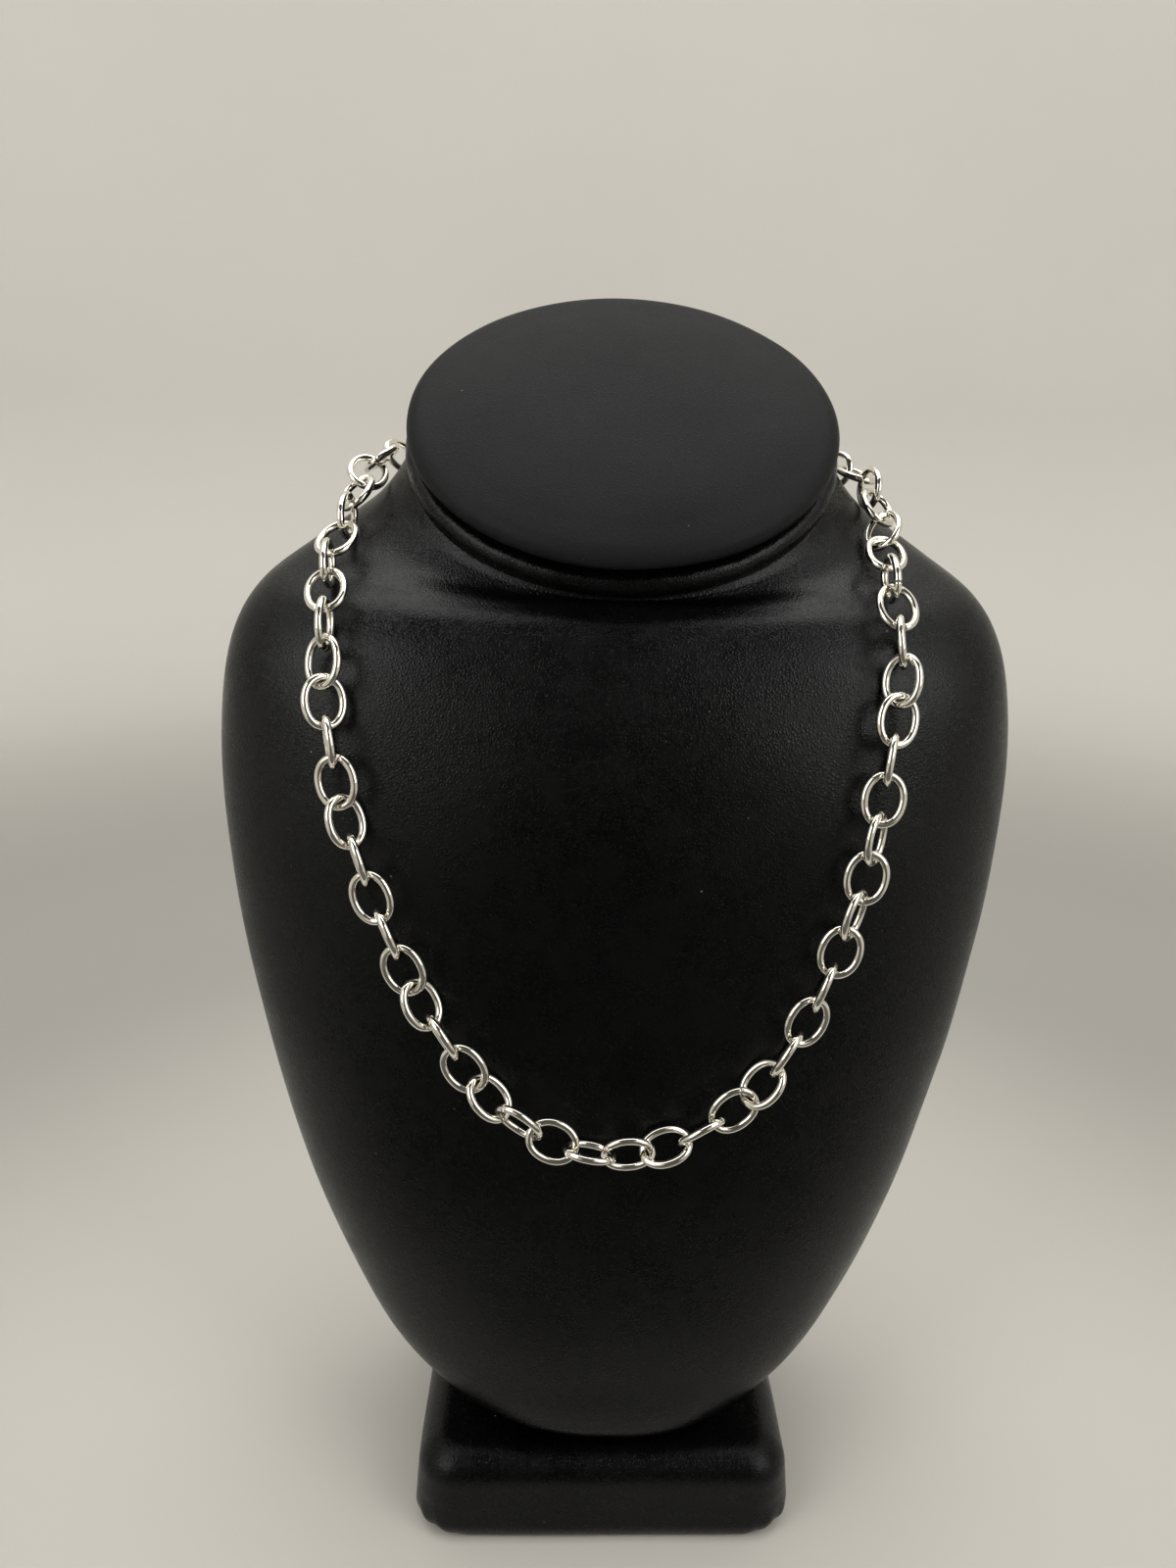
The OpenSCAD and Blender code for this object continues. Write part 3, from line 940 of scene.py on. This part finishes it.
@dataclass
class OvalChain:
    """The row of interlocking oval links of round wire."""

    finish: SteelFinish
    length: float = 13.1
    width: float = 10.5
    wire: float = 1.85
    roundness: float = 2.12
    along: int = 64
    around: int = 22
    seed: int = 7
    joint_swing: float = 0.75
    joint_share: float = 0.6
    joint_reach: float = 0.16
    joint_pinch: float = 0.16
    bunching: float = 0.86

    def build(self) -> bpy.types.Object:
        """Makes all the links as one piece.

        A link's middle line is an oval, x = a cos t and y = b sin t to the power 2/roundness. The wire is a
        circle across it, pinched and dark at the joint, whose place differs from link to link. The points along
        the line are bunched near the joint.

        Returns:
            The chain.
        """
        middles, ways, _ = LooseRings("chain").measure()
        order = np.argsort(middles[:, 2] + 0.01 * middles[:, 0])
        middles, ways = middles[order], ways[order]
        n = len(middles)
        rng = np.random.default_rng(self.seed)
        joint = rng.choice([0.0, math.pi], n) + rng.uniform(-self.joint_swing, self.joint_swing, n)
        step = np.linspace(-math.pi, math.pi, self.along, endpoint=False)
        bunched = step - self.bunching * np.sin(step)
        t = joint[:, None] + bunched[None, :]
        power = 2 / self.roundness
        half_l, half_w = (self.length - self.wire) / 2, (self.width - self.wire) / 2

        def oval(at: np.ndarray) -> np.ndarray:
            """Points of the middle line at the given turns."""
            x, y = signed_power(np.cos(at), power), signed_power(np.sin(at), power)
            return np.stack([half_l * x, half_w * y], -1)

        line, fine = oval(t), 1e-3
        ahead = oval(t + fine) - oval(t - fine)
        ahead /= np.linalg.norm(ahead, axis=-1, keepdims=True)
        side = np.stack([ahead[..., 1], -ahead[..., 0]], -1)
        turn = np.linspace(0, 2 * math.pi, self.around, endpoint=False)
        open_joint = (rng.random(n) < self.joint_share)[:, None]
        gap = np.exp(-((bunched * half_w / self.joint_reach) ** 2))[None, :] * open_joint
        radius = self.wire / 2 * (1 - self.joint_pinch * gap)
        wire_x = radius[..., None] * np.cos(turn)
        wire_z = radius[..., None] * np.sin(turn)
        flat = line[:, :, None, :] + side[:, :, None, :] * wire_x[..., None]
        local = np.concatenate([wire_z[..., None], flat[..., 1:], flat[..., :1]], -1)
        points = middles[:, None, None, :] + np.einsum("nrck,nkj->nrcj", local, ways)
        mark = np.broadcast_to((gap**2)[..., None], points.shape[:3])
        piece = SurfaceMesh("chain_links")
        for link in range(n):
            piece.add_grid(points[link], ring=True, values=mark[link])
        return piece.build(("chain",), Slot.CHAIN, self.finish.material())


def tube(line: np.ndarray, radius: np.ndarray, around: int) -> np.ndarray:
    """Closed round wire along a closed line in a plane.

    Args:
        line: Points of the line, two columns.
        radius: Radius of the wire at each point.
        around: Points round the wire.

    Returns:
        Rows by columns by three: each row is a circle square to the line.
    """
    ahead = np.roll(line, -1, axis=0) - np.roll(line, 1, axis=0)
    ahead /= np.linalg.norm(ahead, axis=1, keepdims=True)
    side = np.stack([ahead[:, 1], -ahead[:, 0]], -1)
    turn = np.linspace(0, 2 * math.pi, around, endpoint=False)
    flat = line[:, None, :] + side[:, None, :] * (radius[:, None] * np.cos(turn))[..., None]
    return np.concatenate([flat, (radius[:, None] * np.sin(turn))[..., None]], -1)


def lathe(profile: np.ndarray, around: int = 28) -> np.ndarray:
    """A profile turned about X.

    Args:
        profile: Places along X and radii, two columns.
        around: Points round the axis.

    Returns:
        Rows by columns by three.
    """
    turn = np.linspace(0, 2 * math.pi, around, endpoint=False)
    x = np.broadcast_to(profile[:, :1], (len(profile), around))
    return np.stack([x, profile[:, 1:] * np.cos(turn), profile[:, 1:] * np.sin(turn)], -1)


@dataclass
class PlainClasp:
    """The clasp behind the neck, a loop with a turned collar and a small eye, and the jump ring next to it."""

    clasp_finish: SteelFinish
    ring_finish: SteelFinish
    length: float = 13.0
    width: float = 8.0
    wire: float = 2.0
    squareness: float = 0.92
    collar_length: float = 2.6
    collar_width: float = 3.4
    eye_width: float = 5.4
    eye_wire: float = 1.5
    eye_sunk: float = 0.6
    collar_sunk: float = 0.4
    ring_width: float = 7.0
    ring_wire: float = 1.2
    joint_turn: float = 2.0
    joint_pinch: float = 0.10
    joint_reach: float = 0.05
    joint_dark: float = 0.04
    ring_joint_turn: float = 1.2
    ring_joint_pinch: float = 0.14
    ring_joint_reach: float = 0.06
    points: int = 72
    around: int = 20
    ring_around: int = 16

    def clasp(self) -> bpy.types.Object:
        """Makes the clasp.

        Its eye is at the end that lies further from the middle of its surface.

        Returns:
            The clasp.
        """
        (middle,), (ways,), (ends,) = LooseRings("clasp").measure()
        normal, _, along = ways
        if abs(ends[0]) > abs(ends[1]):
            along, ends = -along, -ends[::-1]
        across = np.cross(normal, along)
        loop_middle = middle + along * (ends[0] + self.length / 2)
        t = np.linspace(0, 2 * math.pi, self.points, endpoint=False)
        line = np.stack([
            (self.length - self.wire) / 2 * signed_power(np.cos(t), self.squareness),
            (self.width - self.wire) / 2 * signed_power(np.sin(t), self.squareness),
        ], -1)
        from_joint = t - self.joint_turn
        radius = self.wire / 2 * (1 - self.joint_pinch * np.exp(-((from_joint / self.joint_reach) ** 2)))
        eye_r = (self.eye_width - self.eye_wire) / 2
        eye_at = self.length / 2 + self.collar_length / 2 + eye_r - self.eye_sunk
        eye = np.stack([eye_at + eye_r * np.cos(t), eye_r * np.sin(t)], -1)
        start, r = self.length / 2 - self.wire / 2 - self.collar_sunk, self.collar_width / 2
        steps = np.array([0, 0.02, 0.12, 0.38, 0.46, 0.54, 0.62, 0.88, 0.98, 1.0])
        radii = r * np.array([0.55, 0.86, 1.0, 1.0, 0.86, 0.86, 1.0, 1.0, 0.86, 0.55])
        piece = SurfaceMesh("clasp_loop")
        turn = np.stack([along, across, normal])
        joint = np.exp(-((from_joint / self.joint_dark) ** 2))[:, None] * np.ones((1, self.around))
        eye_radius = np.full(self.points, self.eye_wire / 2)
        piece.add_grid(tube(line, radius, self.around) @ turn + loop_middle, ring=True, values=joint)
        piece.add_grid(tube(eye, eye_radius, self.around) @ turn + loop_middle, ring=True)
        piece.add_grid(lathe(np.stack([start + steps * self.collar_length, radii], -1)) @ turn + loop_middle)
        return piece.build(("clasp",), Slot.CLASP, self.clasp_finish.material())

    def ring(self) -> bpy.types.Object:
        """Makes the jump ring, a round ring with a butt joint.

        Returns:
            The ring.
        """
        (middle,), (ways,), _ = LooseRings("jump_ring").measure()
        t = np.linspace(0, 2 * math.pi, self.points, endpoint=False)
        r = (self.ring_width - self.ring_wire) / 2
        line = np.stack([r * np.cos(t), r * np.sin(t)], -1)
        gap = np.exp(-(((t - self.ring_joint_turn) / self.ring_joint_reach) ** 2))
        radius = self.ring_wire / 2 * (1 - self.ring_joint_pinch * gap)
        piece = SurfaceMesh("jump_ring_wire")
        turn = np.stack([ways[2], ways[1], ways[0]])
        piece.add_grid(tube(line, radius, self.ring_around) @ turn + middle, ring=True,
                       values=gap[:, None] * np.ones((1, self.ring_around)))
        return piece.build(("jump_ring",), Slot.RING, self.ring_finish.material())

    def build(self) -> list[bpy.types.Object]:
        """Makes the clasp and its ring."""
        return [self.clasp(), self.ring()]


@dataclass(frozen=True)
class Panel:
    """A soft panel light with its place, the point that it faces, its size in metres and its power in watts."""

    name: str
    place: Place
    aim: Place
    size: tuple[float, float]
    power: float
    mirrored: bool = True
    tone: Tone = (1.0, 0.985, 0.93)

    def build(self) -> bpy.types.Object:
        """Adds the light, which the camera doesn't see.

        Returns:
            The light.
        """
        data = bpy.data.lights.new(self.name, "AREA")
        data.shape, data.size, data.size_y = "RECTANGLE", self.size[0], self.size[1]
        data.energy, data.color = self.power, self.tone
        light = bpy.data.objects.new(self.name, data)
        light.location = self.place
        light.visible_camera = False
        light.visible_glossy = self.mirrored
        away = np.array(self.place) - np.array(self.aim)
        tilt = math.acos(away[2] / np.linalg.norm(away))
        light.rotation_euler = (tilt, 0.0, math.atan2(away[1], away[0]) + math.pi / 2)
        bpy.context.scene.collection.objects.link(light)
        return light


PANELS = (
    Panel("top_panel", (0.0, 0.15, 1.1), (0.0, 0.02, 0.0), (1.0, 0.6), 3.6),
    Panel("left_panel", (-0.56, -0.46, 0.62), (0.0, 0.0, 0.17), (0.42, 0.62), 2.1),
    Panel("right_panel", (0.56, -0.46, 0.62), (0.0, 0.0, 0.17), (0.42, 0.62), 2.1),
    Panel("wall_panel", (0.0, 0.5, 1.1), (0.0, 1.15, 0.5), (1.2, 0.4), 1.15, mirrored=False),
)


@dataclass
class Studio:
    """Pale paper sweep, a dark cloth for reflections, soft lights and the camera, in metres and degrees."""

    floor_radius: float = 0.85
    bend: float = 0.30
    wall_height: float = 1.25
    around: int = 96
    eye: Place = (-0.015, -0.2905, 0.2784)
    pitch: float = 17.0
    turn: float = 1.6
    roll: float = 1.33
    lens: float = 27.0
    flag_near: float = 0.13
    flag_far: float = 0.62
    flag_half: float = 0.62
    flag_high: float = 0.78
    flag_over: float = 0.12
    flag_bend: float = 0.15
    flag_low: float = 0.004
    flag_arch: float = 0.25
    room_tone: Tone = (1.0, 0.982, 0.93)
    room_strength: float = 0.92

    def sweep(self) -> bpy.types.Object:
        """Makes the floor: a disc that bends up into a round wall, a profile turned about Z.

        Returns:
            The floor.
        """
        a = np.linspace(0, math.pi / 2, 20)
        floor = np.stack([np.linspace(0.02, self.floor_radius, 14), np.zeros(14)], -1)
        bend = np.stack([self.floor_radius + self.bend * np.sin(a), self.bend * (1 - np.cos(a))], -1)[1:]
        heights = np.linspace(self.bend, self.wall_height, 7)[1:]
        wall = np.stack([np.full(6, self.floor_radius + self.bend), heights], -1)
        profile = np.vstack([floor, bend, wall])
        turn = np.linspace(0, 2 * math.pi, self.around, endpoint=False)
        points = np.stack([profile[:, :1] * np.cos(turn), profile[:, :1] * np.sin(turn),
                           np.broadcast_to(profile[:, 1:], (len(profile), self.around))], -1)
        rows, cols = points.shape[:2]
        faces = grid_quads(rows, cols)[:, ::-1].tolist() + [list(range(cols))]
        mesh = bpy.data.meshes.new("paper_sweep")
        mesh.from_pydata(points.reshape(-1, 3).tolist(), [], faces)
        mesh.polygons.foreach_set("use_smooth", np.ones(len(faces), bool))
        floor_piece = bpy.data.objects.new("paper_sweep", mesh)
        bpy.context.scene.collection.objects.link(floor_piece)
        mesh.materials.append(PaperFinish().material())
        return floor_piece

    def flag(self) -> bpy.types.Object:
        """Hangs a dark cloth in front, a profile over the floor and up behind the camera, carried across in X.

        Only reflections see it. It makes the dark band along the wire and keeps the chest dark.

        Returns:
            The cloth.
        """
        a = np.linspace(0, math.pi / 2, 8)
        low, turn = self.flag_low, self.flag_bend
        floor = np.stack([np.linspace(-self.flag_near, -self.flag_far + turn, 8), np.full(8, low)], -1)
        bend = np.stack([-self.flag_far + turn - turn * np.sin(a), low + turn * (1 - np.cos(a))], -1)[1:]
        wall = np.stack([np.full(6, -self.flag_far), np.linspace(low + turn, self.flag_high, 7)[1:]], -1)
        arch = np.stack([-self.flag_over - (self.flag_far - self.flag_over) * np.cos(a),
                         self.flag_high + self.flag_arch * np.sin(a)], -1)[1:]
        profile = np.vstack([floor, bend, wall, arch])
        x = np.linspace(-self.flag_half, self.flag_half, 12)
        rows, cols = len(profile), len(x)
        points = np.stack([np.broadcast_to(x, (rows, cols)), np.broadcast_to(profile[:, :1], (rows, cols)),
                           np.broadcast_to(profile[:, 1:], (rows, cols))], -1)
        quads = grid_quads(rows, cols, ring_cols=False)[:, ::-1]
        mesh = bpy.data.meshes.new("dark_flag")
        mesh.from_pydata(points.reshape(-1, 3).tolist(), [], quads.tolist())
        cloth = bpy.data.objects.new("dark_flag", mesh)
        bpy.context.scene.collection.objects.link(cloth)
        mesh.materials.append(ClothFinish().material())
        cloth.visible_camera = cloth.visible_diffuse = False
        cloth.visible_shadow = cloth.visible_transmission = False
        return cloth

    def lights(self) -> None:
        """Adds the panels and the pale surroundings."""
        for panel in PANELS:
            panel.build()
        world = bpy.data.worlds.new("soft_room")
        world.use_nodes = True
        sky = world.node_tree.nodes["Background"]
        sky.inputs[0].default_value = rgba(self.room_tone)
        sky.inputs[1].default_value = self.room_strength
        bpy.context.scene.world = world

    def camera(self) -> bpy.types.Object:
        """Makes the camera at the photograph's place, its turn, pitch and roll given in degrees.

        Returns:
            The camera.
        """
        p, a, r = (math.radians(v) for v in (self.pitch, self.turn, self.roll))
        ahead = np.array([math.sin(a) * math.cos(p), math.cos(a) * math.cos(p), -math.sin(p)])
        right = np.array([math.cos(a), -math.sin(a), 0.0])
        down = np.cross(ahead, right)
        right, down = math.cos(r) * right - math.sin(r) * down, math.sin(r) * right + math.cos(r) * down
        data = bpy.data.cameras.new("camera")
        data.sensor_width, data.sensor_fit, data.lens = 36.0, "AUTO", self.lens
        data.clip_start, data.clip_end = 0.01, 20.0
        camera = bpy.data.objects.new("camera", data)
        turn = Matrix([[right[k], -down[k], -ahead[k]] for k in range(3)])
        camera.matrix_world = Matrix.Translation(self.eye) @ turn.to_4x4()
        bpy.context.scene.collection.objects.link(camera)
        bpy.context.scene.camera = camera
        return camera

    def build(self) -> None:
        """Makes the stage, the lights and the camera."""
        self.sweep()
        self.flag()
        self.lights()
        self.camera()
        view = bpy.context.scene.view_settings
        view.view_transform, view.look, view.exposure = "Standard", "None", 0.0


def main() -> None:
    """Builds the studio, the bust and the necklace."""
    logging.basicConfig(level=logging.INFO, format="%(message)s")
    Studio().build()
    body_leather = LeatherFinish("body_leather")
    # The cap's leather has a lighter tone than the body's: partly painted light, standing in for the top light
    # on the slanted cap.
    cap_leather = LeatherFinish("cap_leather", top=0.0135, painted_crease_shade=0.011, depth=0.03, roughness=0.40, gloss=0.08,
                                cloud=0.35, dust=0.6)
    rim_leather = LeatherFinish("rim_leather", dust=0.2)
    foot_leather = LeatherFinish("foot_leather", gloss=0.205, roughness=0.24, dust=0.9)
    BustBody(body_leather).build()
    NeckPads(rim_leather, cap_leather).build()
    FootBlock(foot_leather).build()
    OvalChain(SteelFinish("polished_steel")).build()
    PlainClasp(SteelFinish("clasp_steel"), SteelFinish("ring_steel")).build()


if __name__ == "__main__":
    main()
